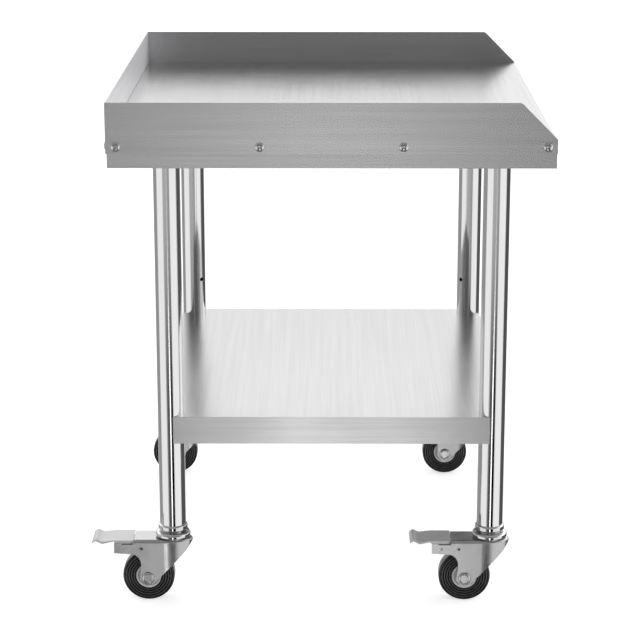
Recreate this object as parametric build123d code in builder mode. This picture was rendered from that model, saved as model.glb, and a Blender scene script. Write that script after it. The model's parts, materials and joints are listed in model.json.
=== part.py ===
from build123d import *

import os
from math import radians, sin, cos, sqrt

# Stainless equipment stand: a folded top with splashes on three sides, four tube legs, an undershelf
# and four swivel casters, two of them with a foot brake. Millimetres, +Z up, origin on the floor under
# the middle of the whole object. The open front of the table faces -Y, and the brakes are at the -X end.

# Table top and its splashes
TABLE_LENGTH = 711.0
TABLE_DEPTH = 610.0
TOP_HEIGHT = 694.0
SKIRT_HEIGHT = 40.0
SHEET = 1.2
HEM_WIDTH = 12.0
FOLD_RADIUS = 2.2
SPLASH_SHEET = 1.5
SPLASH_RISE = 50.0
SPLASH_LAP = 20.0
SPLASH_CHAMFER = 50.0
SPLASH_CORNER_RADIUS = 6.5
SPLASH_FRONT_OVERHANG = 0.5

# M6 screws with wide domed heads
SCREW_RADIUS = 3.0
SCREW_HOLE_RADIUS = 3.25
SCREW_HEAD_RADIUS = 6.5
SCREW_HEAD_HEIGHT = 3.0
SCREW_DOME_RADIUS = 2.4
SCREW_TIP_REACH = 1.5
HEX_KEY_WIDTH = 4.0
HEX_KEY_DEPTH = 2.0
NUT_WIDTH = 10.0
NUT_HEIGHT = 5.0
BOLT_HEAD_HEIGHT = 4.0
SHELF_SCREW_LENGTH = 12.0
SCREWS_PER_SIDE = 4
SCREW_END_INSET = 12.5
SCREW_DROP = 10.5

# Hat channels under the top and the shelf
HAT_WIDTH = 60.0
HAT_FLANGE = 15.0
TOP_HAT_DEPTH = 18.0
SHELF_HAT_DEPTH = 16.0
HAT_END_ROOM = 4.0
CENTRE_HAT_END_ROOM = 0.5

# Legs and their sockets
LEG_RADIUS = 19.0
LEG_WALL = 1.2
LEG_INSET = 75.0
LEG_BOTTOM = 116.0
LEG_TOP = 688.0
LEG_FIT = 0.1
SOCKET_RADIUS = 22.0
SOCKET_ROOM = 0.3
SOCKET_BOTTOM = 657.0
SOCKET_CAP = 2.0
SOCKET_PLATE = (56.0, 84.0)
SOCKET_PLATE_SHEET = 2.5
SOCKET_PLATE_CORNER = 6.0
SOCKET_BOLT_HEIGHT = 664.5
SOCKET_BOLT_STANDOFF = 1.5

# Undershelf
SHELF_TOP = 282.5
SHELF_RIM = 40.0
SADDLE_GAP = 0.2
SADDLE_SETBACK = 4.0
SHELF_SCREW_DROP = 20.0
SPARE_HOLE_RISE = 59.5

# Swivel caster, drawn about its swivel axis, with the wheel trailing towards +Y
TRAIL = 36.0
WHEEL_RADIUS = 37.5
TYRE_HALF_WIDTH = 12.5
HUB_RADIUS = 18.0
HUB_HALF_LENGTH = 19.0
AXLE_RADIUS = 4.0
RUNNING_CLEARANCE = 0.06
FORK_SHEET = 2.5
FORK_HALF_WIDTH = 22.0
FORK_TOP = 95.6
FORK_FLAT_START = 12.3
FORK_NOSE = 28.6
BRAKED_FOLD_RADIUS = 4.5
PLAIN_FOLD_RADIUS = 2.5
FORK_BLANK_BOTTOM = 20.0
LOBE_RADIUS = 12.0
PLAIN_FORK_BACK = TRAIL + LOBE_RADIUS
ARM_END = 84.7
ARM_TOP = 91.0
ARM_SLOT_BOTTOM = 89.2
ARM_SLOT_END = 74.3
ARM_BOTTOM = 76.0
ARM_THROAT_RADIUS = 16.0
ARM_THROAT_TURN = -72.0
BRIDGE_END = 56.4
DIMPLE_CENTRE = (70.0, 83.0)
DIMPLE_RADIUS = 2.2
DIMPLE_DEPTH = 1.2
AXLE_RECESS_RADIUS = 10.3
AXLE_RECESS_DEPTH = 1.0
AXLE_HEAD_RADIUS = 8.8
AXLE_HEAD_HEIGHT = 3.6
AXLE_DOME_RADIUS = 3.2
AXLE_NUT_WIDTH = 13.0
AXLE_NUT_HEIGHT = 5.5

# Swivel head, from the leg's insert down to the fork
STEM_RADIUS = 6.0
STEM_HEAD_RADIUS = 11.0
STEM_HEAD_HEIGHT = 3.0
STEM_HEAD_ROOM = 0.3
STEM_REACH = 30.0
STEM_BORE_DEPTH = 60.0
SPACER_RADIUS = 16.5
INSERT_REACH = 34.0
TRACK_RADIUS = 19.3
TRACK_RISE = 1.4
CAP_RADIUS = 25.4
CAP_BOTTOM = 98.0
CAP_TOP = 105.0
CAP_SKIRT = 2.4
CAP_CROWN = 2.8
CAP_BOSS_RADIUS = 9.0
CAP_SHOULDER_RADIUS = 4.0
CAP_RIM_RADIUS = 1.0
BALL_RADIUS = 2.5
BALL_CIRCLE = 17.0
BALL_COUNT = 14
BALL_LIFT = 0.05
COLLAR_RADIUS = 21.35
COLLAR_BOTTOM = 107.0
COLLAR_EDGE_RADIUS = 2.6

# Wheel: rounded rings on the tyre's sides, and rounded shoulders
HUB_BARREL_RADIUS = 9.0
HUB_WEB_RADIUS = 15.0
HUB_WEB_HALF_WIDTH = 8.0
HUB_RIM_FOOT = 15.8
HUB_RIM_HALF_WIDTH = 12.9
RING_START = 19.5
RING_PITCH = 3.6
RING_COUNT = 4
RING_CREST = (0.7, 2.2)
RING_DEPTH = 0.9
RING_INSET = 0.1
SHOULDER_RADIUS = 3.4
SHOULDER_DROP = 0.6

# Foot brake
PEDAL_PIVOT = (45.0, 82.6)
PEDAL_PIN_RADIUS = 2.6
PEDAL_PIN_WALL = 0.5
PEDAL_EYE_RADIUS = 4.8
PEDAL_START = 57.0
PEDAL_BEVEL = 1.7
PEDAL_NECK = 59.2
PEDAL_SHEET = 1.8
PEDAL_TIP = 116.4
FLANGE_START = 61.8
FLANGE_END = 84.0
FLANGE_BOTTOM = 91.3
FLANGE_SHEET = 1.8
EAR_SHEET = 1.6
EAR_ROOM = 0.4
EAR_END = 74.0
SHOE_GAP = 0.3
SHOE_DEPTH = 4.5
SHOE_START = 10.0
SHOE_END = 21.0
SHOE_HALF_WIDTH = 11.0
CARRIER_SHEET = 1.8
CARRIER_START = 11.5

# The whole object is centred on the origin, and the brake pedals reach past the back of the table.
leg_x = TABLE_LENGTH / 2 - LEG_INSET
leg_y = TABLE_DEPTH / 2 - LEG_INSET
back_reach = leg_y + PEDAL_TIP
front_reach = TABLE_DEPTH / 2 + SPLASH_FRONT_OVERHANG
table_y = (front_reach - back_reach) / 2

half_length = TABLE_LENGTH / 2
back_y = table_y + TABLE_DEPTH / 2
front_y = table_y - TABLE_DEPTH / 2
skirt_bottom = TOP_HEIGHT - SKIRT_HEIGHT
splash_top = TOP_HEIGHT + SPLASH_RISE
splash_bottom = TOP_HEIGHT - SPLASH_LAP
screw_z = TOP_HEIGHT - SCREW_DROP
shelf_bottom = SHELF_TOP - SHELF_RIM
shelf_screw_z = SHELF_TOP - SHELF_SCREW_DROP
spare_hole_z = SHELF_TOP + SPARE_HOLE_RISE

corners = {
    "front_left": (-leg_x, table_y - leg_y),
    "rear_left": (-leg_x, table_y + leg_y),
    "front_right": (leg_x, table_y - leg_y),
    "rear_right": (leg_x, table_y + leg_y),
}
braked_corners = ("front_left", "rear_left")

os.makedirs("parts", exist_ok=True)


def save(piece, name):
    piece.part.label = name
    export_step(piece.part, f"parts/{name}.step")


def spread(first, last, count):
    return [first + (last - first) * i / (count - 1) for i in range(count)]


def inward_plane(x, y, z, distance):
    """A plane on a leg's inner diagonal, at a distance from the leg's axis, facing the table's middle."""
    towards = Vector(-x, table_y - y, 0)
    diagonal = Vector(-1 if x > 0 else 1, -1 if y > table_y else 1, 0).normalized()
    assert towards.dot(diagonal) > 0
    return Plane(origin=Vector(x, y, z) + diagonal * distance, z_dir=diagonal)


# ---------------------------------------------------------------- fasteners used in groups
def domed_screw(length):
    """Domed screw along Z with its head above the origin and a hex recess."""
    with BuildPart() as screw:
        Cylinder(SCREW_HEAD_RADIUS, SCREW_HEAD_HEIGHT, align=(Align.CENTER, Align.CENTER, Align.MIN))
        fillet(screw.edges().sort_by(Axis.Z)[-1], SCREW_DOME_RADIUS)
        Cylinder(SCREW_RADIUS, length, align=(Align.CENTER, Align.CENTER, Align.MAX))
        with BuildSketch(Plane.XY.offset(SCREW_HEAD_HEIGHT)):
            RegularPolygon(HEX_KEY_WIDTH / 2, 6, major_radius=False)
        extrude(amount=-HEX_KEY_DEPTH, mode=Mode.SUBTRACT)
    return screw.part


def hex_nut():
    """M6 nut under the origin, with its bore on Z."""
    with BuildPart() as nut:
        with BuildSketch():
            RegularPolygon(NUT_WIDTH / 2, 6, major_radius=False)
            Circle(SCREW_RADIUS, mode=Mode.SUBTRACT)
        extrude(amount=-NUT_HEIGHT)
    return nut.part


def hex_bolt(length):
    """Short hex bolt with its head above the origin."""
    with BuildPart() as bolt:
        with BuildSketch():
            RegularPolygon(NUT_WIDTH / 2, 6, major_radius=False)
        extrude(amount=BOLT_HEAD_HEIGHT)
        Cylinder(SCREW_RADIUS, length, align=(Align.CENTER, Align.CENTER, Align.MAX))
    return bolt.part


def save_group(template, planes, name):
    with BuildPart() as group:
        with Locations(*planes):
            add(template)
    save(group, name)


# Splash screws stand on the outside of the splash plates: a row on each side and one on the back.
side_screw_ys = spread(front_y + SCREW_END_INSET, back_y - SCREW_END_INSET, SCREWS_PER_SIDE)
back_screw_xs = spread(-half_length + SCREW_END_INSET, half_length - SCREW_END_INSET, SCREWS_PER_SIDE)


def splash_planes(depth):
    """Planes on the splash screws' axes, a depth below the splash plates' outer faces."""
    out = SPLASH_SHEET - depth
    sides = [
        Plane(origin=(side * (half_length + out), y, screw_z), z_dir=(side, 0, 0))
        for side in (-1, 1)
        for y in side_screw_ys
    ]
    back = [Plane(origin=(x, back_y + out, screw_z), z_dir=(0, 1, 0)) for x in back_screw_xs]
    return sides + back


# ---------------------------------------------------------------- top
with BuildPart() as tabletop:
    with BuildSketch(Plane.XY.offset(skirt_bottom)):
        with Locations((0, table_y)):
            Rectangle(TABLE_LENGTH, TABLE_DEPTH)
    extrude(amount=SKIRT_HEIGHT)
    fillet(tabletop.faces().sort_by(Axis.Z)[-1].edges(), FOLD_RADIUS)
    with BuildSketch(Plane.XY.offset(skirt_bottom + SHEET)):
        with Locations((0, table_y)):
            Rectangle(TABLE_LENGTH - 2 * SHEET, TABLE_DEPTH - 2 * SHEET)
    extrude(amount=SKIRT_HEIGHT - 2 * SHEET, mode=Mode.SUBTRACT)
    with BuildSketch(Plane.XY.offset(skirt_bottom)):
        with Locations((0, table_y)):
            Rectangle(TABLE_LENGTH - 2 * HEM_WIDTH, TABLE_DEPTH - 2 * HEM_WIDTH)
    extrude(amount=SHEET, mode=Mode.SUBTRACT)
    with Locations(*splash_planes(SPLASH_SHEET)):
        Cylinder(SCREW_HOLE_RADIUS, 4 * SHEET, mode=Mode.SUBTRACT)
save(tabletop, "tabletop")

with BuildPart() as rear_splash:
    with BuildSketch(Plane.XZ.offset(-back_y - SPLASH_SHEET)):
        with Locations((0, (splash_top + splash_bottom) / 2)):
            Rectangle(TABLE_LENGTH, splash_top - splash_bottom)
    extrude(amount=SPLASH_SHEET)
    with Locations(*splash_planes(SPLASH_SHEET / 2)[-SCREWS_PER_SIDE:]):
        Cylinder(SCREW_HOLE_RADIUS, 2 * SPLASH_SHEET, mode=Mode.SUBTRACT)
save(rear_splash, "rear_splash")


def side_splash(plane, name):
    """End plate with a 45 degree front corner, from the back plate's outside to just past the front."""
    front = front_y - SPLASH_FRONT_OVERHANG
    back = back_y + SPLASH_SHEET
    with BuildPart() as plate:
        with BuildSketch(plane) as outline:
            with BuildLine():
                Polyline(
                    (back, splash_bottom),
                    (front, splash_bottom),
                    (front, TOP_HEIGHT),
                    (front + SPLASH_CHAMFER, splash_top),
                    (back, splash_top),
                    close=True,
                )
            make_face()
            knee = outline.vertices().sort_by_distance((front + SPLASH_CHAMFER, splash_top))[0]
            fillet(knee, SPLASH_CORNER_RADIUS)
        extrude(amount=SPLASH_SHEET)
        with Locations(*splash_planes(SPLASH_SHEET / 2)[: 2 * SCREWS_PER_SIDE]):
            Cylinder(SCREW_HOLE_RADIUS, 2 * SPLASH_SHEET, mode=Mode.SUBTRACT)
    save(plate, name)


side_splash(Plane.YZ.offset(-half_length - SPLASH_SHEET), "left_splash")
side_splash(Plane.YZ.offset(half_length), "right_splash")

grip = SPLASH_SHEET + SHEET
save_group(domed_screw(grip + NUT_HEIGHT + SCREW_TIP_REACH), splash_planes(0), "splash_screws")
save_group(hex_nut(), splash_planes(grip), "splash_nuts")


# ---------------------------------------------------------------- hat channels
def hat_profile(depth):
    """Closed hat section in the current sketch: open side up, flanges at the top."""
    with Locations((0, -depth / 2)):
        Rectangle(HAT_WIDTH, depth)
    with Locations((0, -depth / 2 + SHEET / 2)):
        Rectangle(HAT_WIDTH - 2 * SHEET, depth - SHEET, mode=Mode.SUBTRACT)
    with Locations(*[(side * (HAT_WIDTH + HAT_FLANGE) / 2, -SHEET / 2) for side in (-1, 1)]):
        Rectangle(HAT_FLANGE, SHEET)


top_underside = TOP_HEIGHT - SHEET
hat_web_bottom = top_underside - TOP_HAT_DEPTH
side_hat_length = TABLE_DEPTH - 2 * SHEET - 2 * HAT_END_ROOM
side_hat_start = table_y - side_hat_length / 2
for side, name in ((-1, "left_channel"), (1, "right_channel")):
    hat_origin = (side * leg_x, side_hat_start, top_underside)
    leg_places = [(side * leg_x, table_y + end * leg_y, hat_web_bottom) for end in (-1, 1)]
    with BuildPart() as channel:
        with BuildSketch(Plane(origin=hat_origin, x_dir=(-1, 0, 0), z_dir=(0, 1, 0))):
            hat_profile(TOP_HAT_DEPTH)
        extrude(amount=side_hat_length)
        with Locations(*leg_places):
            Cylinder(SOCKET_RADIUS + SOCKET_ROOM, 6 * SHEET, mode=Mode.SUBTRACT)
    save(channel, name)

centre_hat_end = leg_x - HAT_WIDTH / 2 - HAT_FLANGE - CENTRE_HAT_END_ROOM
centre_hat_origin = (-centre_hat_end, table_y, top_underside)
with BuildPart() as centre_channel:
    with BuildSketch(Plane(origin=centre_hat_origin, x_dir=(0, 1, 0), z_dir=(1, 0, 0))):
        hat_profile(TOP_HAT_DEPTH)
    extrude(amount=2 * centre_hat_end)
save(centre_channel, "centre_channel")

# ---------------------------------------------------------------- legs and sockets
socket_top = LEG_TOP + SOCKET_CAP
for corner, (x, y) in corners.items():
    bolt_plane = inward_plane(x, y, SOCKET_BOLT_HEIGHT, LEG_RADIUS)
    with BuildPart() as leg_socket:
        with BuildSketch(Plane.XY.offset(SOCKET_BOTTOM)):
            with Locations((x, y)):
                Circle(SOCKET_RADIUS)
        extrude(amount=socket_top - SOCKET_BOTTOM)
        with BuildSketch(Plane.XY.offset(hat_web_bottom - SOCKET_PLATE_SHEET)):
            with Locations((x, y)):
                RectangleRounded(*SOCKET_PLATE, SOCKET_PLATE_CORNER)
        extrude(amount=SOCKET_PLATE_SHEET)
        with BuildSketch(Plane.XY.offset(SOCKET_BOTTOM)):
            with Locations((x, y)):
                Circle(LEG_RADIUS + LEG_FIT)
        extrude(amount=LEG_TOP - SOCKET_BOTTOM, mode=Mode.SUBTRACT)
        with Locations(bolt_plane):
            Cylinder(SCREW_RADIUS, 10 * LEG_WALL, mode=Mode.SUBTRACT)
    save(leg_socket, f"leg_socket_{corner}")

    with BuildPart() as leg:
        with BuildSketch(Plane.XY.offset(LEG_BOTTOM)):
            with Locations((x, y)):
                Circle(LEG_RADIUS)
                Circle(LEG_RADIUS - LEG_WALL, mode=Mode.SUBTRACT)
        extrude(amount=LEG_TOP - LEG_BOTTOM)
        with Locations(*[inward_plane(x, y, z, LEG_RADIUS) for z in (shelf_screw_z, spare_hole_z)]):
            Cylinder(SCREW_HOLE_RADIUS, 5 * LEG_WALL, mode=Mode.SUBTRACT)
    save(leg, f"leg_{corner}")

bolt_seat = SOCKET_RADIUS + SOCKET_BOLT_STANDOFF
bolt_planes = [inward_plane(x, y, SOCKET_BOLT_HEIGHT, bolt_seat) for x, y in corners.values()]
save_group(hex_bolt(bolt_seat - LEG_RADIUS), bolt_planes, "socket_bolts")


# ---------------------------------------------------------------- undershelf
def shelf_outline(inset):
    """Shelf plan in the current sketch, with a round saddle for the leg in each corner."""
    reach = LEG_RADIUS - inset
    saddle = LEG_RADIUS + SADDLE_GAP + inset
    with Locations((0, table_y)):
        Rectangle(2 * (leg_x + reach), 2 * (leg_y + reach))
    with Locations(*corners.values()):
        Circle(saddle, mode=Mode.SUBTRACT)
    cut = reach + SADDLE_SETBACK + LEG_RADIUS
    past = cut / 2 - SADDLE_SETBACK
    for x, y in corners.values():
        with Locations((x + (past if x > 0 else -past), y + (past if y > table_y else -past))):
            Rectangle(cut, cut, mode=Mode.SUBTRACT)


with BuildPart() as undershelf:
    with BuildSketch(Plane.XY.offset(shelf_bottom)):
        shelf_outline(0)
    extrude(amount=SHELF_RIM)
    with BuildSketch(Plane.XY.offset(shelf_bottom + SHEET)):
        shelf_outline(SHEET)
    extrude(amount=SHELF_RIM - 2 * SHEET, mode=Mode.SUBTRACT)
    with BuildSketch(Plane.XY.offset(shelf_bottom)):
        shelf_outline(HEM_WIDTH)
    extrude(amount=SHEET, mode=Mode.SUBTRACT)
    with Locations(*[inward_plane(x, y, shelf_screw_z, LEG_RADIUS) for x, y in corners.values()]):
        Cylinder(SCREW_HOLE_RADIUS, 6 * SHEET, mode=Mode.SUBTRACT)
save(undershelf, "undershelf")

shelf_hat_end = leg_x + LEG_RADIUS - SHEET - HAT_END_ROOM
shelf_hat_origin = (-shelf_hat_end, table_y, SHELF_TOP - SHEET)
with BuildPart() as shelf_channel:
    with BuildSketch(Plane(origin=shelf_hat_origin, x_dir=(0, 1, 0), z_dir=(1, 0, 0))):
        hat_profile(SHELF_HAT_DEPTH)
    extrude(amount=2 * shelf_hat_end)
save(shelf_channel, "shelf_channel")

saddle_inside = LEG_RADIUS + SADDLE_GAP + SHEET
shelf_screw_planes = [inward_plane(x, y, shelf_screw_z, saddle_inside) for x, y in corners.values()]
save_group(domed_screw(SHELF_SCREW_LENGTH), shelf_screw_planes, "shelf_screws")

# ---------------------------------------------------------------- swivel caster pieces
plate_bottom = FORK_TOP - FORK_SHEET
ridge_top = FORK_TOP + TRACK_RISE

with BuildPart() as leg_insert:
    with BuildSketch(Plane.XY.offset(COLLAR_BOTTOM)):
        Circle(COLLAR_RADIUS)
    extrude(amount=LEG_BOTTOM - COLLAR_BOTTOM)
    fillet(leg_insert.edges().filter_by(GeomType.CIRCLE), COLLAR_EDGE_RADIUS)
    with BuildSketch(Plane.XY.offset(LEG_BOTTOM)):
        Circle(LEG_RADIUS - LEG_WALL - LEG_FIT)
    extrude(amount=INSERT_REACH)
    with BuildSketch(Plane.XY.offset(COLLAR_BOTTOM)):
        Circle(STEM_RADIUS)
    extrude(amount=STEM_BORE_DEPTH, mode=Mode.SUBTRACT)

stem_bottom = plate_bottom - STEM_HEAD_ROOM - STEM_HEAD_HEIGHT
with BuildPart() as caster_stem:
    with BuildSketch(Plane.XY.offset(stem_bottom)):
        Circle(STEM_HEAD_RADIUS)
    extrude(amount=STEM_HEAD_HEIGHT)
    with BuildSketch(Plane.XY.offset(stem_bottom)):
        Circle(STEM_RADIUS)
    extrude(amount=LEG_BOTTOM + STEM_REACH - stem_bottom)
    with BuildSketch(Plane.XY.offset(CAP_TOP)):
        Circle(SPACER_RADIUS)
    extrude(amount=COLLAR_BOTTOM - CAP_TOP)

with BuildPart() as swivel_cap:
    with BuildSketch(Plane.XY.offset(CAP_BOTTOM)):
        Circle(CAP_RADIUS)
    extrude(amount=CAP_TOP - CAP_BOTTOM)
    fillet(swivel_cap.edges().group_by(Axis.Z)[-1], CAP_SHOULDER_RADIUS)
    fillet(swivel_cap.edges().group_by(Axis.Z)[0], CAP_RIM_RADIUS)
    with BuildSketch(Plane.XY.offset(CAP_BOTTOM)):
        Circle(CAP_RADIUS - CAP_SKIRT)
        Circle(CAP_BOSS_RADIUS, mode=Mode.SUBTRACT)
    extrude(amount=CAP_TOP - CAP_CROWN - CAP_BOTTOM, mode=Mode.SUBTRACT)
    with BuildSketch(Plane.XY.offset(CAP_BOTTOM)):
        Circle(STEM_RADIUS)
    extrude(amount=CAP_TOP - CAP_BOTTOM, mode=Mode.SUBTRACT)

with BuildPart() as swivel_balls:
    with Locations((0, 0, ridge_top + BALL_LIFT + BALL_RADIUS)):
        with PolarLocations(BALL_CIRCLE, BALL_COUNT):
            Sphere(BALL_RADIUS)


def fork_plan(inset, back):
    """Fork seen from above in the current sketch: an elliptic nose and straight sides."""
    half_width = FORK_HALF_WIDTH - inset
    with Locations((0, FORK_FLAT_START)):
        Ellipse(half_width, FORK_NOSE + FORK_FLAT_START - inset)
    with Locations((0, (FORK_FLAT_START + back) / 2)):
        Rectangle(2 * half_width, back - FORK_FLAT_START)


def fork_side(braked):
    """Fork seen from the side, in Y and Z: a 45 degree nose, a round lobe at the axle and the back."""
    lobe_front = (TRAIL - LOBE_RADIUS * cos(radians(45)), WHEEL_RADIUS - LOBE_RADIUS * sin(radians(45)))
    lobe_back = (TRAIL + LOBE_RADIUS, WHEEL_RADIUS)
    with BuildSketch(Plane.YZ) as side:
        with BuildLine():
            nose_top = (-FORK_NOSE - 1, FORK_TOP)
            chin = [(-FORK_NOSE - 1, FORK_TOP - 3), (-26.0, 87.0), (-20.0, 78.6)]
            Polyline(nose_top, *chin, lobe_front)
            lobe_side = (TRAIL + LOBE_RADIUS * 0.6, WHEEL_RADIUS - LOBE_RADIUS * 0.8)
            ThreePointArc(lobe_front, lobe_side, lobe_back)
            if braked:
                waist = Polyline(lobe_back, (46.0, 53.6), (46.0, 59.0))
                throat = JernArc(waist @ 1, (0, 1), ARM_THROAT_RADIUS, ARM_THROAT_TURN)
                Polyline(throat @ 1, (ARM_END, ARM_BOTTOM), (ARM_END, FORK_TOP), nose_top)
            else:
                Polyline(lobe_back, (PLAIN_FORK_BACK, FORK_TOP), nose_top)
        make_face()
    return side.sketch


def make_fork(braked):
    back = ARM_END if braked else PLAIN_FORK_BACK
    with BuildPart() as fork:
        with BuildSketch(Plane.XY.offset(FORK_BLANK_BOTTOM)):
            fork_plan(0, back)
        extrude(amount=FORK_TOP - FORK_BLANK_BOTTOM)
        top_edges = fork.faces().sort_by(Axis.Z)[-1].edges().sort_by(Axis.Y)[:-1]
        fillet(top_edges, BRAKED_FOLD_RADIUS if braked else PLAIN_FOLD_RADIUS)
        with BuildSketch(Plane.XY.offset(FORK_BLANK_BOTTOM)):
            fork_plan(FORK_SHEET, back + 2 * FORK_SHEET)
        extrude(amount=plate_bottom - FORK_BLANK_BOTTOM, mode=Mode.SUBTRACT)
        extrude(fork_side(braked), amount=FORK_HALF_WIDTH + 1, both=True, mode=Mode.INTERSECT)
        # raised ball track, and the hole for the king pin
        with BuildSketch(Plane.XY.offset(plate_bottom)):
            Circle(TRACK_RADIUS)
        extrude(amount=ridge_top - plate_bottom)
        with BuildSketch(Plane.XY.offset(plate_bottom)):
            Circle(STEM_RADIUS + RUNNING_CLEARANCE)
        extrude(amount=ridge_top - plate_bottom, mode=Mode.SUBTRACT)
        # axle hole, and the pressed recess round the axle's head and nut
        with Locations(Plane(origin=(0, TRAIL, WHEEL_RADIUS), z_dir=(1, 0, 0))):
            Cylinder(AXLE_RADIUS, 2 * FORK_HALF_WIDTH, mode=Mode.SUBTRACT)
            with Locations((0, 0, FORK_HALF_WIDTH), (0, 0, -FORK_HALF_WIDTH)):
                Cylinder(AXLE_RECESS_RADIUS, 2 * AXLE_RECESS_DEPTH, mode=Mode.SUBTRACT)
        if braked:
            # behind the bridge the arms stand lower than the pedal, with a long notch next to the bridge
            cuts = ((ARM_SLOT_BOTTOM, BRIDGE_END, ARM_SLOT_END), (ARM_TOP, ARM_SLOT_END, ARM_END))
            for top, first, last in cuts:
                with BuildSketch(Plane.XY.offset(top)):
                    with Locations((0, (first + last) / 2)):
                        Rectangle(2 * FORK_HALF_WIDTH, last - first)
                extrude(amount=FORK_TOP - top, mode=Mode.SUBTRACT)
            with Locations(Plane(origin=(0, *PEDAL_PIVOT), z_dir=(1, 0, 0))):
                Cylinder(PEDAL_PIN_RADIUS, 2 * FORK_HALF_WIDTH, mode=Mode.SUBTRACT)
            from_top = (Align.CENTER, Align.CENTER, Align.MAX)
            arm_faces = [
                Plane(origin=(side * FORK_HALF_WIDTH, *DIMPLE_CENTRE), z_dir=(side, 0, 0)) for side in (-1, 1)
            ]
            with Locations(*arm_faces):
                Cone(0.4, DIMPLE_RADIUS, DIMPLE_DEPTH, align=from_top, mode=Mode.SUBTRACT)
    return fork


plain_fork = make_fork(False)
braked_fork = make_fork(True)

# The axle is a bolt along X: a domed head on the -X side, and a hexagonal nut on the other.
axle_seat = FORK_HALF_WIDTH - AXLE_RECESS_DEPTH
axle_plane = Plane(origin=(0, TRAIL, WHEEL_RADIUS), x_dir=(0, 1, 0), z_dir=(1, 0, 0))
with BuildPart() as axle:
    with Locations(axle_plane):
        Cylinder(AXLE_RADIUS, 2 * axle_seat)
    with BuildSketch(axle_plane.offset(-axle_seat)):
        Circle(AXLE_HEAD_RADIUS)
    extrude(amount=-AXLE_HEAD_HEIGHT)
    fillet(axle.edges().filter_by(GeomType.CIRCLE).sort_by(Axis.X)[0], AXLE_DOME_RADIUS)
    with BuildSketch(axle_plane.offset(axle_seat)):
        RegularPolygon(AXLE_NUT_WIDTH / 2, 6, major_radius=False)
    extrude(amount=AXLE_NUT_HEIGHT)


def wheel_section(points):
    """Half section of a wheel piece, given as (radius, x), turned about the axle."""
    with BuildPart() as piece:
        with BuildSketch(Plane(origin=(0, TRAIL, WHEEL_RADIUS), x_dir=(0, 0, -1), z_dir=(0, -1, 0))):
            with BuildLine():
                Polyline(*points, close=True)
            make_face()
        revolve(axis=Axis((0, TRAIL, WHEEL_RADIUS), (1, 0, 0)))
    return piece


hub_half = [
    (AXLE_RADIUS + RUNNING_CLEARANCE, HUB_HALF_LENGTH),
    (HUB_BARREL_RADIUS, HUB_HALF_LENGTH),
    (HUB_BARREL_RADIUS, HUB_WEB_HALF_WIDTH),
    (HUB_WEB_RADIUS, HUB_WEB_HALF_WIDTH),
    (HUB_RIM_FOOT, HUB_RIM_HALF_WIDTH),
    (HUB_RADIUS, HUB_RIM_HALF_WIDTH),
]
hub = wheel_section(hub_half + [(r, -x) for r, x in reversed(hub_half)])

crest = TYRE_HALF_WIDTH - RING_INSET
ring_face = [(HUB_RADIUS, TYRE_HALF_WIDTH)]
for i in range(RING_COUNT):
    r = RING_START + i * RING_PITCH
    ring_face += [(r, TYRE_HALF_WIDTH - RING_DEPTH), (r + RING_CREST[0], crest), (r + RING_CREST[1], crest)]
shoulder_r = WHEEL_RADIUS - SHOULDER_RADIUS
shoulder_x = TYRE_HALF_WIDTH - SHOULDER_DROP - SHOULDER_RADIUS
shoulder = [
    (shoulder_r + SHOULDER_RADIUS * sin(radians(a)), shoulder_x + SHOULDER_RADIUS * cos(radians(a)))
    for a in range(0, 91, 15)
]
tyre_half = ring_face + shoulder
tyre = wheel_section(tyre_half + [(r, -x) for r, x in reversed(tyre_half)])

# ---------------------------------------------------------------- foot brake pieces
pedal_top = FORK_TOP
pedal_under = pedal_top - PEDAL_SHEET
ear_outside = FORK_HALF_WIDTH - FORK_SHEET - EAR_ROOM
ear_inside = ear_outside - EAR_SHEET
shoe_inner = WHEEL_RADIUS + SHOE_GAP
shoe_outer = shoe_inner + SHOE_DEPTH
carrier_outer = shoe_outer + CARRIER_SHEET


def on_wheel(radius, back):
    """Point at a radius from the axle and a distance behind it, above the wheel, in Y and Z."""
    return (TRAIL + back, WHEEL_RADIUS + sqrt(radius**2 - back**2))


def wheel_arc_face(inner, outer, first, last):
    """Curved strip over the tyre, in Y and Z, between two distances behind the axle."""
    middle = (first + last) / 2
    with BuildSketch(Plane.YZ) as strip:
        with BuildLine():
            below = ThreePointArc(on_wheel(inner, first), on_wheel(inner, middle), on_wheel(inner, last))
            above = ThreePointArc(on_wheel(outer, first), on_wheel(outer, middle), on_wheel(outer, last))
            Line(below @ 1, above @ 1)
            Line(above @ 0, below @ 0)
        make_face()
    return strip.sketch


with BuildPart() as brake_shoe:
    extrude(wheel_arc_face(shoe_inner, shoe_outer, SHOE_START, SHOE_END), amount=SHOE_HALF_WIDTH, both=True)

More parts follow.
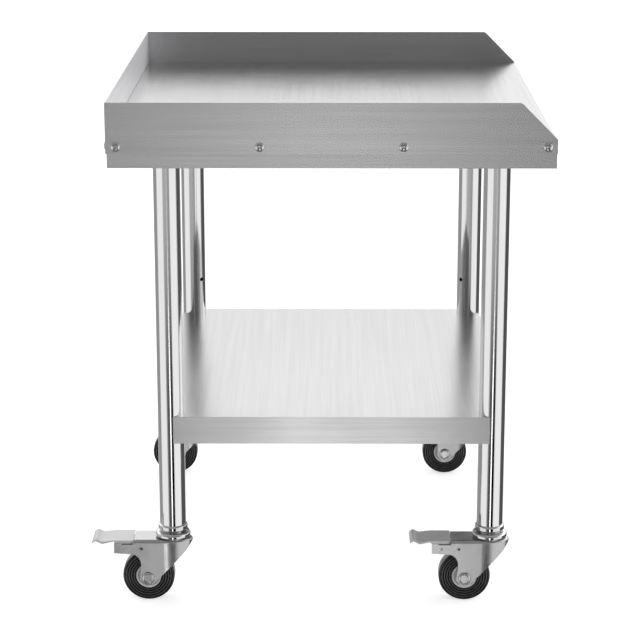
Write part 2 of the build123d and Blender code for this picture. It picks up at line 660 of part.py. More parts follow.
with BuildPart() as brake_pedal:
    # plate, with its inner end bevelled to swing past the fork's bridge, and a ridge to push with the toe
    with BuildSketch(Plane.YZ):
        with BuildLine():
            Polyline(
                (PEDAL_START + PEDAL_BEVEL, pedal_under),
                (85.0, pedal_under),
                (102.0, pedal_under - 3.6),
                (111.5, pedal_under + 1.2),
                (PEDAL_TIP - 0.6, pedal_under - 2.4),
                (PEDAL_TIP, pedal_under - 0.2),
                (112.3, pedal_top + 1.6),
                (109.8, pedal_top + 1.6),
                (101.8, pedal_top - 2.0),
                (85.2, pedal_top),
                (PEDAL_START, pedal_top),
                close=True,
            )
        make_face()
    extrude(amount=FORK_HALF_WIDTH, both=True)
    # side flanges over the fork's arms
    with BuildSketch(Plane.XY.offset(FLANGE_BOTTOM)):
        flange_x = FORK_HALF_WIDTH - FLANGE_SHEET / 2
        with Locations(*[(side * flange_x, (FLANGE_START + FLANGE_END) / 2) for side in (-1, 1)]):
            Rectangle(FLANGE_SHEET, FLANGE_END - FLANGE_START)
    extrude(amount=pedal_under - FLANGE_BOTTOM)
    # two ears down to the pin, and the shoe's carrier between them
    with BuildSketch(Plane.YZ):
        with BuildLine():
            Polyline(
                (45.0, 87.4),
                (PEDAL_NECK - 1, 88.6),
                (PEDAL_NECK, 90.0),
                (PEDAL_NECK, pedal_under),
                (EAR_END, pedal_under),
                (EAR_END, 88.0),
                (66.0, 80.5),
                (57.0, 74.5),
                (50.0, 77.0),
                (45.0, 77.8),
                close=True,
            )
        make_face()
        with Locations(PEDAL_PIVOT):
            Circle(PEDAL_EYE_RADIUS)
            Circle(PEDAL_PIN_RADIUS + RUNNING_CLEARANCE, mode=Mode.SUBTRACT)
    extrude(amount=ear_outside, both=True)
    ear_room = pedal_under - PEDAL_PIVOT[1]
    with BuildSketch(Plane.XY.offset(PEDAL_PIVOT[1] - ear_room)):
        with Locations((0, (PEDAL_PIVOT[0] + EAR_END) / 2)):
            Rectangle(2 * ear_inside, EAR_END - PEDAL_PIVOT[0] + 4 * PEDAL_EYE_RADIUS)
    extrude(amount=2 * ear_room, mode=Mode.SUBTRACT)
    extrude(wheel_arc_face(shoe_outer, carrier_outer, CARRIER_START, SHOE_END), amount=ear_outside, both=True)

with BuildPart() as pedal_pin:
    with BuildSketch(Plane.YZ):
        with Locations(PEDAL_PIVOT):
            Circle(PEDAL_PIN_RADIUS)
            Circle(PEDAL_PIN_RADIUS - PEDAL_PIN_WALL, mode=Mode.SUBTRACT)
    extrude(amount=FORK_HALF_WIDTH, both=True)

for corner, (x, y) in corners.items():
    braked = corner in braked_corners
    pieces = {
        "leg_insert": leg_insert,
        "caster_stem": caster_stem,
        "swivel_cap": swivel_cap,
        "swivel_balls": swivel_balls,
        "fork": braked_fork if braked else plain_fork,
        "axle": axle,
        "hub": hub,
        "tyre": tyre,
    }
    if braked:
        pieces |= {"brake_pedal": brake_pedal, "brake_shoe": brake_shoe, "pedal_pin": pedal_pin}
    for name, template in pieces.items():
        save_group(template.part, [Plane(origin=(x, y, 0))], f"{name}_{corner}")
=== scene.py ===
import json
from math import cos, pi, radians, sin

import bmesh
import bpy
from mathutils import Matrix, Vector

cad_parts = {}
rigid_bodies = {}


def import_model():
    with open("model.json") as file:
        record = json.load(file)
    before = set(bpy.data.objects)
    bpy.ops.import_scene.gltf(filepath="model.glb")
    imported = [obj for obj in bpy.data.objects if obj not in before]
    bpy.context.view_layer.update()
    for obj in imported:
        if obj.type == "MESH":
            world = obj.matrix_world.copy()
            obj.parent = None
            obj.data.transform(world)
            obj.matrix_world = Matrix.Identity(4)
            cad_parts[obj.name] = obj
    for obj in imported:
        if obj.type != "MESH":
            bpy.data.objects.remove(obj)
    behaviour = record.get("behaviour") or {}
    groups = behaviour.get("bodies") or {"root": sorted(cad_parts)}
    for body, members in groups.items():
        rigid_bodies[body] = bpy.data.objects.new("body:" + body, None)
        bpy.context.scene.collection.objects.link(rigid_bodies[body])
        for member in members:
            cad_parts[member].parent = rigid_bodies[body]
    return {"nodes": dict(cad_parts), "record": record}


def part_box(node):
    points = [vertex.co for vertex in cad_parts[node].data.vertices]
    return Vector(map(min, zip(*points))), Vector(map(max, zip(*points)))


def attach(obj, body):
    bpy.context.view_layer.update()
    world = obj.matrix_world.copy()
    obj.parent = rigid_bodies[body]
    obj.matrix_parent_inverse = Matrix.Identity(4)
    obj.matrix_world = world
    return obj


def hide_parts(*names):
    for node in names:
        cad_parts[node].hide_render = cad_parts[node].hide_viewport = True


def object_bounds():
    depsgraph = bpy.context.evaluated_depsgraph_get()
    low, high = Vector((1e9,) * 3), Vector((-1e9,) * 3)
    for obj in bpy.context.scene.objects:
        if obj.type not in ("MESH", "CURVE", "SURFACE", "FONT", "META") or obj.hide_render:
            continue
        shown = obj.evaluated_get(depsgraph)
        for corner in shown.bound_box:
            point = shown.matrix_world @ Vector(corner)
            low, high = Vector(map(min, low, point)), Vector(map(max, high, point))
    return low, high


# The looks of a stainless equipment stand on casters, in metres, in the CAD model's frame.
# +Z is up, the open front of the table faces -Y, and the camera stands beyond the -X end.

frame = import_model()
record = frame["record"]
cad_low, cad_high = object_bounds()

CORNERS = ("front_left", "rear_left", "front_right", "rear_right")
BRAKED = ("front_left", "rear_left")


# ---------------------------------------------------------------- camera
CAMERA_DISTANCE = 2.861
CAMERA_HEIGHT = 1.222
CAMERA_SIDE = 0.0034
CAMERA_PITCH = radians(15.24)
CAMERA_TURN = radians(0.252)
CAMERA_LENS = 121.0


def make_camera():
    low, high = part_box("tabletop")
    data = bpy.data.cameras.new("camera")
    data.lens = CAMERA_LENS
    data.sensor_width = 36.0
    data.clip_end = 60.0
    camera = bpy.data.objects.new("camera", data)
    bpy.context.scene.collection.objects.link(camera)
    middle_y = (low.y + high.y) / 2
    camera.location = (cad_low.x - CAMERA_DISTANCE, middle_y + CAMERA_SIDE, CAMERA_HEIGHT)
    level = cos(CAMERA_PITCH)
    look = Vector((level * cos(CAMERA_TURN), level * sin(CAMERA_TURN), -sin(CAMERA_PITCH)))
    camera.rotation_mode = "QUATERNION"
    camera.rotation_quaternion = look.to_track_quat("-Z", "Y")
    bpy.context.scene.camera = camera


# ---------------------------------------------------------------- node helpers
class Shading:
    """A material's node tree, with short calls for the nodes that the materials share."""

    def __init__(self, name):
        self.material = bpy.data.materials.new(name)
        self.material.use_nodes = True
        self.tree = self.material.node_tree
        self.shader = self.tree.nodes["Principled BSDF"]
        self.place = self.add("ShaderNodeTexCoord").outputs["Object"]

    def add(self, kind, **settings):
        node = self.tree.nodes.new(kind)
        for key, value in settings.items():
            setattr(node, key, value)
        return node

    def link(self, source, target):
        self.tree.links.new(source, target)

    def set(self, **values):
        for name, value in values.items():
            title = " ".join(word.upper() if word == "ior" else word.capitalize() for word in name.split("_"))
            self.shader.inputs[title].default_value = value

    def noise(self, scale, stretch=(1, 1, 1), detail=2.0, roughness=0.5, offset=(0, 0, 0)):
        """Noise over the object's own metres; stretch multiplies the scale along each axis."""
        mapping = self.add("ShaderNodeMapping")
        mapping.inputs["Scale"].default_value = stretch
        mapping.inputs["Location"].default_value = offset
        self.link(self.place, mapping.inputs["Vector"])
        noise = self.add("ShaderNodeTexNoise")
        noise.inputs["Scale"].default_value = scale
        noise.inputs["Detail"].default_value = detail
        noise.inputs["Roughness"].default_value = roughness
        self.link(mapping.outputs["Vector"], noise.inputs["Vector"])
        return noise.outputs["Fac"]

    def spread(self, value, low, high, start=0.3, end=0.7):
        """Maps a 0..1 value between start and end to low..high."""
        node = self.add("ShaderNodeMapRange")
        node.inputs["From Min"].default_value = start
        node.inputs["From Max"].default_value = end
        node.inputs["To Min"].default_value = low
        node.inputs["To Max"].default_value = high
        self.link(value, node.inputs["Value"])
        return node.outputs["Result"]

    def math(self, operation, first, second):
        node = self.add("ShaderNodeMath", operation=operation)
        for socket, value in zip(node.inputs, (first, second)):
            if isinstance(value, (int, float)):
                socket.default_value = value
            else:
                self.link(value, socket)
        return node.outputs["Value"]

    def blend(self, factor, first, second):
        """A colour between two, by a 0..1 factor."""
        node = self.add("ShaderNodeMix", data_type="RGBA")
        node.inputs["A"].default_value = (*first, 1)
        node.inputs["B"].default_value = (*second, 1)
        self.link(factor, node.inputs["Factor"])
        return node.outputs["Result"]

    def bump(self, height, distance, strength=1.0):
        node = self.add("ShaderNodeBump")
        node.inputs["Distance"].default_value = distance
        node.inputs["Strength"].default_value = strength
        self.link(height, node.inputs["Height"])
        self.link(node.outputs["Normal"], self.shader.inputs["Normal"])

    def input(self, name):
        return self.shader.inputs[name]


# ---------------------------------------------------------------- materials
STEEL = (0.56, 0.56, 0.565)
SHELF_STEEL = (0.46, 0.46, 0.465)
WHITE = (1.0, 1.0, 1.0)
FRONT_PAINTED_HIGHLIGHT_GAIN = (1.6, 1.6, 1.61)       # how much paler the rear splash's faces towards -Y are painted: a painted highlight for a bright reflection
# the faces with the painted highlight are less metallic, so their paler painted colour shows
FRONT_PAINTED_HIGHLIGHT_METALLIC = 0.3
FACE_LIMIT = 0.6                    # a face points along an axis above this share of its normal
# paler colour painted on the crests of the tyre rings: a painted highlight
CREST_PAINTED_HIGHLIGHT = (0.055, 0.055, 0.057, 1)
AXES = {"x": (1.0, 0.0, 0.0), "y": (0.0, 1.0, 0.0), "z": (0.0, 0.0, 1.0)}


def brushed(name, along, ends_along, rough, anisotropy=0.5, base=STEEL, painted_highlight_front=False):
    """Sheet steel brushed along one axis, and along another on the faces that the first points into.

    With the front flag set, the faces towards -Y are painted paler and made less metallic, so they scatter
    more light: a painted highlight that stands in for a bright reflection."""
    s = Shading(name)
    normal = s.add("ShaderNodeTexCoord").outputs["Normal"]
    parts = s.add("ShaderNodeSeparateXYZ")
    s.link(normal, parts.inputs["Vector"])
    ends = s.math("GREATER_THAN", s.math("ABSOLUTE", parts.outputs[along.upper()], 0.0), FACE_LIMIT)

    def lines(scale, length_ratio):
        """Noise drawn out into lines along the brushing."""
        first, second = (
            s.noise(
                scale, tuple(length_ratio if way == axis else 1.0 for axis in "xyz"),
                detail=1.0, roughness=0.6,
            )
            for way in (along, ends_along)
        )
        mix = s.add("ShaderNodeMix", data_type="FLOAT")
        s.link(ends, mix.inputs["Factor"])
        s.link(first, mix.inputs["A"])
        s.link(second, mix.inputs["B"])
        return mix.outputs["Result"]

    scratches = lines(2600.0, 0.008)
    streaks = lines(420.0, 0.01)
    bands = lines(110.0, 0.02)
    handling = s.noise(7.0, detail=3.0)
    tone = s.math("ADD", s.math("MULTIPLY", streaks, 0.5), s.math("MULTIPLY", bands, 0.5))
    dark = tuple(c * 0.95 for c in base)
    light = tuple(c * 1.04 for c in base)
    colour = s.blend(s.spread(tone, 0, 1, 0.35, 0.65), dark, light)
    # painted highlight: the faces towards -Y are painted paler and less metallic than the rest of the sheet
    if painted_highlight_front:
        front = s.math("LESS_THAN", parts.outputs["Y"], -0.5)
        pale = s.add("ShaderNodeMix", data_type="RGBA", blend_type="MULTIPLY")
        pale.inputs["Factor"].default_value = 1.0
        s.link(colour, pale.inputs["A"])
        s.link(s.blend(front, WHITE, FRONT_PAINTED_HIGHLIGHT_GAIN), pale.inputs["B"])
        colour = pale.outputs["Result"]
        s.link(s.spread(front, 1.0, FRONT_PAINTED_HIGHLIGHT_METALLIC, 0.0, 1.0), s.input("Metallic"))
    s.link(colour, s.input("Base Color"))
    grain = s.spread(scratches, rough * 0.96, rough * 1.05)
    s.link(s.math("ADD", grain, s.spread(handling, -0.012, 0.018)), s.input("Roughness"))
    s.bump(scratches, 0.0000002)
    s.set(metallic=1.0, anisotropic=anisotropy)
    # the tangent lies across the brush lines, because the shader spreads highlights along it
    brush = s.add("ShaderNodeMix", data_type="VECTOR")
    s.link(ends, brush.inputs["Factor"])
    vector_sockets = [socket for socket in brush.inputs if socket.type == "VECTOR"]
    vector_sockets[-2].default_value = AXES[along]
    vector_sockets[-1].default_value = AXES[ends_along]
    across = s.add("ShaderNodeVectorMath", operation="CROSS_PRODUCT")
    s.link(normal, across.inputs[0])
    s.link([socket for socket in brush.outputs if socket.type == "VECTOR"][0], across.inputs[1])
    s.link(across.outputs["Vector"], s.input("Tangent"))
    return s.material


def polished_tube(name):
    """Drawn leg tube: a mirror polish with faint lengthwise draw lines."""
    s = Shading(name)
    draw = s.noise(1500.0, (1, 1, 0.004), detail=2.0)
    cloud = s.noise(14.0, detail=2.0)
    s.link(s.blend(s.spread(draw, 0, 1), (0.66, 0.66, 0.665), (0.7, 0.7, 0.705)), s.input("Base Color"))
    s.link(s.math("ADD", s.spread(draw, 0.07, 0.11), s.spread(cloud, 0.0, 0.03)), s.input("Roughness"))
    s.bump(draw, 0.000003)
    s.set(metallic=1.0)
    return s.material


def plated(name, base, rough, grain_scale=900.0, dents=0.000008, spread=0.05, metallic=1.0):
    """Plated or cast metal with an even fine grain and soft blotches."""
    s = Shading(name)
    grain = s.noise(grain_scale, detail=3.0)
    cloud = s.noise(60.0, detail=2.0)
    dark = tuple(c * 0.92 for c in base)
    s.link(s.blend(s.spread(cloud, 0, 1), dark, base), s.input("Base Color"))
    fine = s.spread(grain, rough - spread, rough + spread)
    s.link(s.math("ADD", fine, s.spread(cloud, -0.03, 0.03)), s.input("Roughness"))
    s.bump(grain, dents)
    s.set(metallic=metallic)
    return s.material


def spangled(name):
    """Galvanised steel: flat zinc crystals a few millimetres across."""
    s = Shading(name)
    cells = s.add("ShaderNodeTexVoronoi")
    cells.inputs["Scale"].default_value = 180.0
    s.link(s.place, cells.inputs["Vector"])
    grain = s.noise(1200.0)
    tone = s.spread(cells.outputs["Color"], 0, 1, 0.0, 1.0)
    s.link(s.blend(tone, (0.56, 0.57, 0.58), (0.7, 0.71, 0.72)), s.input("Base Color"))
    s.link(s.spread(cells.outputs["Color"], 0.32, 0.5, 0.0, 1.0), s.input("Roughness"))
    s.bump(grain, 0.00001)
    s.set(metallic=0.6)
    return s.material


def moulded(name, dark, light, rough):
    """Rubber or plastic with a fine moulded grain and slight wear, and a painted highlight, a paler colour,
    on a mesh's crests.
    """
    s = Shading(name)
    grain = s.noise(1500.0, detail=3.0)
    wear = s.noise(120.0, detail=4.0)
    # painted highlight on the crests, read from a per-vertex attribute of the mesh
    crest = s.add("ShaderNodeAttribute", attribute_name="crest").outputs["Fac"]
    colour = s.add("ShaderNodeMix", data_type="RGBA")
    s.link(crest, colour.inputs["Factor"])
    s.link(s.blend(s.spread(wear, 0, 1), dark, light), colour.inputs["A"])
    colour.inputs["B"].default_value = CREST_PAINTED_HIGHLIGHT
    s.link(colour.outputs["Result"], s.input("Base Color"))
    fine = s.spread(grain, rough - 0.06, rough + 0.06)
    s.link(s.math("ADD", fine, s.spread(wear, -0.04, 0.04)), s.input("Roughness"))
    s.bump(grain, 0.00002)
    return s.material


def make_materials():
    return {
        "top_sheet": brushed("top_brushed_along_x", "x", "y", 0.24, 0.3),
        # the rear splash carries a painted highlight on its faces towards -Y
        "back_sheet": brushed("back_brushed_along_x", "x", "z", 0.36, 0.0, painted_highlight_front=True),
        "shelf_sheet": brushed("shelf_brushed_along_x", "x", "y", 0.22, 0.3, SHELF_STEEL),
        "end_sheet": brushed("end_brushed_along_y", "y", "z", 0.24, 0.5),
        "galvanised_steel": spangled("galvanised"),
        "cast_socket": plated("cast_socket", (0.42, 0.42, 0.43), 0.5, 500.0, 0.00005),
        "fastener_steel": plated("fastener", (0.6, 0.6, 0.605), 0.07, 400.0, 0.000001, 0.02),
        "leg_tube": polished_tube("leg_tube"),
        "chromed_steel": plated("chrome", (0.62, 0.62, 0.63), 0.05, 300.0, 0.0000005, 0.015),
        "bright_steel": plated("bright_steel", (0.54, 0.54, 0.54), 0.14, 700.0, 0.000001, 0.03),
        "pedal_sheet": plated("pedal_sheet", (0.6, 0.6, 0.6), 0.4, 700.0, 0.0000005, 0.03, 0.7),
        "zinc_plated_steel": plated("zinc", (0.46, 0.46, 0.465), 0.21, 800.0, 0.0000005, 0.03, 0.8),
        "grey_hub": moulded("hub_grey", (0.5, 0.5, 0.5), (0.58, 0.58, 0.58), 0.3),
        "black_rubber": moulded("rubber", (0.007, 0.007, 0.007), (0.012, 0.012, 0.012), 0.24),
    }


# ---------------------------------------------------------------- studio
ZENITH = 0.6
NADIR = 0.3
FLOOR_RADIUS = 40.0
FLOOR_GLOW = 0.62


def make_world():
    """Studio round the object: bright panels and dark gaps by direction, and a plain pale backdrop."""
    world = bpy.data.worlds.new("studio")
    bpy.context.scene.world = world
    world.use_nodes = True
    tree = world.node_tree
    nodes, links = tree.nodes, tree.links
    nodes.clear()

    def add(kind, **settings):
        node = nodes.new(kind)
        for key, value in settings.items():
            setattr(node, key, value)
        return node

    def calc(operation, *values):
        node = add("ShaderNodeMath", operation=operation)
        for socket, value in zip(node.inputs, values):
            if isinstance(value, (int, float)):
                socket.default_value = value
            else:
                links.new(value, socket)
        return node.outputs["Value"]

    def ramp(value, stops):
        """Brightness by heading, in degrees from -180 to 180, from a list of (degrees, brightness)."""
        node = add("ShaderNodeValToRGB")
        elements = node.color_ramp.elements
        while len(elements) < len(stops):
            elements.new(0.5)
        top = max(level for _, level in stops)
        for element, (degrees, level) in zip(elements, stops):
            element.position = degrees / 360 + 0.5
            element.color = (level / top, level / top, level / top, 1)
        links.new(value, node.inputs["Fac"])
        return calc("MULTIPLY", node.outputs["Color"], top)

    def soft_step(value, start, end):
        node = add("ShaderNodeMapRange", interpolation_type="SMOOTHSTEP")
        node.inputs["From Min"].default_value = start
        node.inputs["From Max"].default_value = end
        links.new(value, node.inputs["Value"])
        return node.outputs["Result"]

    def between(factor, first, second):
        """first where factor is 0, second where it is 1."""
        rest = calc("SUBTRACT", 1.0, factor)
        return calc("ADD", calc("MULTIPLY", first, rest), calc("MULTIPLY", second, factor))

    direction = add("ShaderNodeSeparateXYZ")
    links.new(add("ShaderNodeTexCoord").outputs["Generated"], direction.inputs["Vector"])
    x, y, z = direction.outputs
    # heading 0 looks towards -X, and 90 towards -Y
    heading = calc("ARCTAN2", calc("MULTIPLY", y, -1.0), calc("MULTIPLY", x, -1.0))
    turn = calc("ADD", calc("DIVIDE", heading, 2 * pi), 0.5)
    low_ring = ramp(turn, [
        (-180, 1.15), (-163, 1.15), (-150, 0.5), (-95, 0.48), (-90, 1.46), (-36, 1.46), (-31, 0.7),
        (0, 0.7), (21, 0.5), (27, 1.5), (84, 1.5), (90, 0.14), (150, 0.14), (163, 1.15), (180, 1.15),
    ])
    high_ring = ramp(turn, [
        (-180, 1.36), (-120, 1.36), (-75, 0.9), (-42, 0.27), (42, 0.27),
        (70, 1.7), (110, 2.5), (150, 1.4), (180, 1.36),
    ])
    # a soft strip light low at the -X side, with a darker surround towards the floor
    off_axis = calc("ABSOLUTE", heading)
    narrow = soft_step(off_axis, radians(4.3), 0.0)
    upper_part = calc("MULTIPLY", soft_step(z, -0.05, -0.12), 0.24)
    lower_part = calc("MULTIPLY", soft_step(z, -0.24, -0.29), 5.0)
    strip = calc("MULTIPLY", narrow, calc("ADD", upper_part, lower_part))
    near_side = soft_step(off_axis, radians(34), radians(20))
    fall = calc("MULTIPLY", calc("MULTIPLY", near_side, soft_step(z, -0.22, -0.3)), -0.58)
    low_ring = calc("ADD", low_ring, calc("ADD", strip, fall))
    ring = between(soft_step(z, -0.03, 0.03), low_ring, high_ring)
    # the panel beyond the table is brighter higher up
    far_side = soft_step(off_axis, radians(80), radians(120))
    rise = calc("MULTIPLY", soft_step(z, 0.17, 0.5), calc("MULTIPLY", far_side, 1.3))
    dome = between(soft_step(z, 0.5, 0.72), calc("ADD", ring, rise), ZENITH)
    dome = between(soft_step(z, -0.5, -0.72), dome, NADIR)

    seen = add("ShaderNodeBackground")
    seen.inputs["Color"].default_value = (1.0, 1.0, 1.0, 1)
    seen.inputs["Strength"].default_value = 1.0
    lit = add("ShaderNodeBackground")
    links.new(dome, lit.inputs["Strength"])
    mix = add("ShaderNodeMixShader")
    links.new(add("ShaderNodeLightPath").outputs["Is Camera Ray"], mix.inputs["Fac"])
    links.new(lit.outputs["Background"], mix.inputs[1])
    links.new(seen.outputs["Background"], mix.inputs[2])
    links.new(mix.outputs["Shader"], add("ShaderNodeOutputWorld").inputs["Surface"])


def make_floor():
    """Pale round floor that fades into the backdrop. Glossy rays pass it, so metal mirrors the studio."""
    mesh = bpy.data.meshes.new("floor")
    form = bmesh.new()
    bmesh.ops.create_circle(form, cap_ends=True, segments=96, radius=FLOOR_RADIUS)
    form.to_mesh(mesh)
    form.free()
    floor = bpy.data.objects.new("floor", mesh)
    bpy.context.scene.collection.objects.link(floor)
    s = Shading("floor_paint")
    speck = s.noise(3.0, detail=2.0)
    s.link(s.blend(s.spread(speck, 0, 1), (0.9, 0.9, 0.9), (0.92, 0.92, 0.92)), s.input("Base Color"))
    s.set(roughness=0.9, specular_ior_level=0.0, emission_color=(1, 1, 1, 1), emission_strength=FLOOR_GLOW)
    mesh.materials.append(s.material)
    floor.visible_glossy = False


# ---------------------------------------------------------------- finishes for the CAD nodes
SLOTS = {row["node"]: row["material_slot"] for row in record["subparts"]}
GRAIN = {"tabletop": "top_sheet", "rear_splash": "back_sheet", "left_splash": "end_sheet",
         "right_splash": "end_sheet", "undershelf": "shelf_sheet",
         "brake_pedal_front_left": "pedal_sheet", "brake_pedal_rear_left": "pedal_sheet"}


def finish_of(name):
    return materials[GRAIN.get(name, SLOTS[name])]


def paint_nodes():
    for name, node in frame["nodes"].items():
        node.data.materials.clear()
        node.data.materials.append(finish_of(name))


# ---------------------------------------------------------------- pieces that stand for CAD nodes
BODY = {name: node.parent.name.split(":")[1] for name, node in frame["nodes"].items()}
WELD = 0.000002
SHORTEST_EDGE = 0.008      # shorter edges keep their sharp corners


def stand_in(form, name, *nodes, smooth_below=radians(32)):
    """Makes a mesh object from a bmesh, which rides on its nodes' body and takes their finish."""
    mesh = bpy.data.meshes.new(name)
    bmesh.ops.recalc_face_normals(form, faces=form.faces)
    form.to_mesh(mesh)
    form.free()
    for attribute in ("custom_normal", "sharp_face"):
        if attribute in mesh.attributes:
            mesh.attributes.remove(mesh.attributes[attribute])
    mesh.shade_smooth()
    mesh.set_sharp_from_angle(angle=smooth_below)
    piece = bpy.data.objects.new(name, mesh)
    bpy.context.scene.collection.objects.link(piece)
    mesh.materials.clear()
    mesh.materials.append(finish_of(nodes[0]))
    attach(piece, BODY[nodes[0]])
    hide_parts(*nodes)
    return piece


def refine(node, radius):
    """The node's own shape with its long sharp edges rounded."""
    form = bmesh.new()
    form.from_mesh(frame["nodes"][node].data)
    bmesh.ops.remove_doubles(form, verts=form.verts, dist=WELD)
    bmesh.ops.dissolve_limit(form, angle_limit=radians(1), verts=form.verts, edges=form.edges)
    edges = [
        edge for edge in form.edges
        if len(edge.link_faces) == 2 and edge.calc_face_angle() > radians(40)
        and edge.calc_length() > SHORTEST_EDGE
    ]
    bmesh.ops.bevel(
        form, geom=edges, offset=radius, segments=3, profile=0.5, affect="EDGES", clamp_overlap=True,
    )
    piece = stand_in(form, f"{node}_rounded", node)
    # large flat faces keep their own normals, so that they stay flat to the eye
    level = piece.modifiers.new("flat_faces", "WEIGHTED_NORMAL")
    level.keep_sharp = True
    level.weight = 100


def turned(form, profile, place, segments=96, hexagon=()):
    """Adds a surface of revolution: (radius, height) rings about the place's Z axis.

    Rings whose number is in hexagon are six-sided, with that radius to their flats."""
    rings = []
    for number, (radius, height) in enumerate(profile):
        ring = []
        for i in range(segments):
            angle = 2 * pi * i / segments
            reach = radius
            if number in hexagon:
                reach = radius / cos(angle % (pi / 3) - pi / 6)
            ring.append(form.verts.new(place @ Vector((reach * cos(angle), reach * sin(angle), height))))
        rings.append(ring)
    for lower, upper in zip(rings, rings[1:]):
        for i in range(segments):
            j = (i + 1) % segments
            form.faces.new((lower[i], lower[j], upper[j], upper[i]))
    form.faces.new(list(reversed(rings[0])))
    form.faces.new(rings[-1])


def facing(origin, direction):
    """A place at an origin whose Z axis points in a direction."""
    turn = Vector(direction).to_track_quat("Z", "Y").to_matrix().to_4x4()
    return Matrix.Translation(origin) @ turn


def islands(node):
    """The separate lumps of a node's mesh, as (lowest corner, highest corner), in order of place."""
    form = bmesh.new()
    form.from_mesh(frame["nodes"][node].data)
    bmesh.ops.remove_doubles(form, verts=form.verts, dist=WELD)
    left = set(form.verts)
    boxes = []
    while left:
        todo = [left.pop()]
        seen = []
        while todo:
            vert = todo.pop()
            seen.append(vert.co.copy())
            for edge in vert.link_edges:
                other = edge.other_vert(vert)
                if other in left:
                    left.remove(other)
                    todo.append(other)
        low = Vector(min(co[axis] for co in seen) for axis in range(3))
        high = Vector(max(co[axis] for co in seen) for axis in range(3))
        boxes.append((low, high))
    form.free()
    return sorted(boxes, key=lambda box: tuple(box[0]))


def dome(radius, height, key, depth, steps=14):
    """Domed head with a hex recess, from its rim at height 0 to the bottom of the recess."""
    rings = []
    for i in range(steps + 1):
        reach = key * 1.22 + (radius - key * 1.22) * (1 - i / steps)
        rings.append((reach, height * (1 - (reach / radius) ** 2.5) ** (1 / 2.2)))
    crown = rings[-1][1]
    rings += [
        (key * 1.1, crown), (key, crown - 0.0002), (key, crown - depth),
        (key * 0.4, crown - depth - 0.0004),
    ]
    return rings, {len(rings) - 3, len(rings) - 2}


SCREW_HEAD = 0.0065
SCREW_HEAD_HEIGHT = 0.003
SCREW_SHANK = 0.003
SCREW_KEY, SCREW_KEY_DEPTH = 0.002, 0.0016
THREAD_TURNS = 9
THREAD_STEP = 0.00042
THREAD_START = 0.0006
HEAD_EDGE = 0.0003
END_SCREW_X = 0.35          # screws further out than this go through the end splashes


def make_splash_screws():
    """Threaded screws with domed hex-socket heads, each in the place of the CAD node's own."""
    form = bmesh.new()
    for low, high in islands("splash_screws"):
        middle = (low + high) / 2
        span = high - low
        if span.x > span.y * 1.2 or abs(middle.x) > END_SCREW_X:
            side = 1 if middle.x > 0 else -1
            head_face = Vector((high.x if side > 0 else low.x, middle.y, middle.z))
            outward = Vector((side, 0, 0))
            length = span.x
        else:
            head_face = Vector((middle.x, high.y, middle.z))
            outward = Vector((0, 1, 0))
            length = span.y
        head, six_sided = dome(SCREW_HEAD, SCREW_HEAD_HEIGHT, SCREW_KEY, SCREW_KEY_DEPTH)
        foot = -(length - SCREW_HEAD_HEIGHT)
        thread = [
            (SCREW_SHANK * (0.99 if i % 2 else 0.87), foot + THREAD_START + i * THREAD_STEP)
            for i in range(2 * THREAD_TURNS + 1)
        ]
        shoulder = (SCREW_SHANK, thread[-1][1] + 0.0004)
        stem = [(SCREW_SHANK * 0.7, foot)] + thread + [shoulder, (SCREW_SHANK, 0.0)]
        cap = [(SCREW_HEAD, 0.0), (SCREW_HEAD, HEAD_EDGE)] + [(r, max(h, HEAD_EDGE)) for r, h in head[1:]]
        offset = len(stem) + 1
        place = facing(head_face - outward * SCREW_HEAD_HEIGHT, outward)
        turned(form, stem + cap, place, 48, {offset + n for n in six_sided})
    stand_in(form, "domed_screws", "splash_screws")


def wheel_place(corner):
    low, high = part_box(f"tyre_{corner}")
    return facing((low + high) / 2, (1, 0, 0)), (high.z - low.z) / 2, (high.x - low.x) / 2


TYRE_BORE = 0.0181
RING_PITCH = 0.0037
RINGS = 4
RING_STEPS = 12
RING_DEPTH = 0.0016
SHOULDER = 0.0032
SHOULDER_STEPS = 9
SHOULDER_INSET = 0.0007
CREST_SHARPNESS = 4


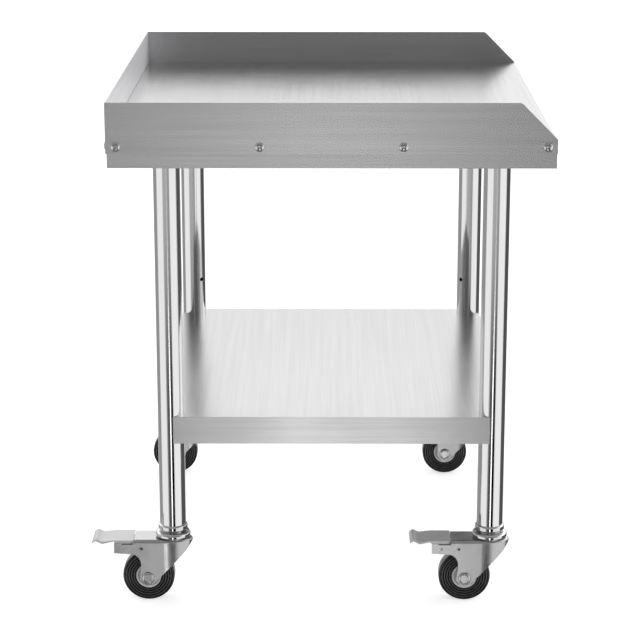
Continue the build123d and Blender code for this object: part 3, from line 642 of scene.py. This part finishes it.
def make_tyre(corner):
    """Tyre with four soft rings on each side and rounded shoulders."""
    place, radius, half = wheel_place(corner)
    side = [
        (TYRE_BORE, half - 0.0012), (TYRE_BORE + 0.0006, half - 0.0002), (TYRE_BORE + 0.0012, half - 0.0002),
    ]
    start = TYRE_BORE + 0.0014
    for i in range(RINGS * RING_STEPS + 1):
        wave = (0.5 - 0.5 * cos(2 * pi * i / RING_STEPS)) ** 0.6
        side.append((start + RING_PITCH * i / RING_STEPS, half - 0.0017 + RING_DEPTH * wave))
    edge = radius - SHOULDER
    side.append((max(side[-1][0] + 0.0002, edge - 0.0002), half - SHOULDER_INSET))
    for i in range(1, SHOULDER_STEPS + 1):
        turn = pi / 2 * i / SHOULDER_STEPS
        side.append((edge + SHOULDER * sin(turn), half - SHOULDER_INSET - SHOULDER * (1 - cos(turn))))
    form = bmesh.new()
    turned(form, side + [(r, -x) for r, x in reversed(side)], place, 144)
    # the two end rings bound the bore, so a wall joins them in place of the caps
    caps = [face for face in form.faces if len(face.verts) > 4]
    bmesh.ops.delete(form, geom=caps, context="FACES_ONLY")
    bmesh.ops.bridge_loops(form, edges=[e for e in form.edges if len(e.link_faces) == 1])
    piece = stand_in(form, f"tyre_ringed_{corner}", f"tyre_{corner}", smooth_below=radians(50))
    # a painted highlight: the crests of the rings are painted paler than the grooves between them
    crest = piece.data.attributes.new("crest", "FLOAT", "POINT")
    to_wheel = place.inverted()
    for vert, value in zip(piece.data.vertices, crest.data):
        along = ((to_wheel @ vert.co).xy.length - start) / RING_PITCH
        if 0 < along < RINGS:
            value.value = max(0.0, sin(pi * (along % 1.0))) ** CREST_SHARPNESS


make_camera()
make_world()
make_floor()
materials = make_materials()
paint_nodes()
make_splash_screws()
for corner in CORNERS:
    make_tyre(corner)
for node, radius in (("tabletop", 0.0003), ("undershelf", 0.0005), ("rear_splash", 0.0003),
                     ("left_splash", 0.0003), ("right_splash", 0.0003)):
    refine(node, radius)
for corner in BRAKED:
    refine(f"brake_pedal_{corner}", 0.0008)

bpy.context.scene.view_settings.view_transform = "Standard"
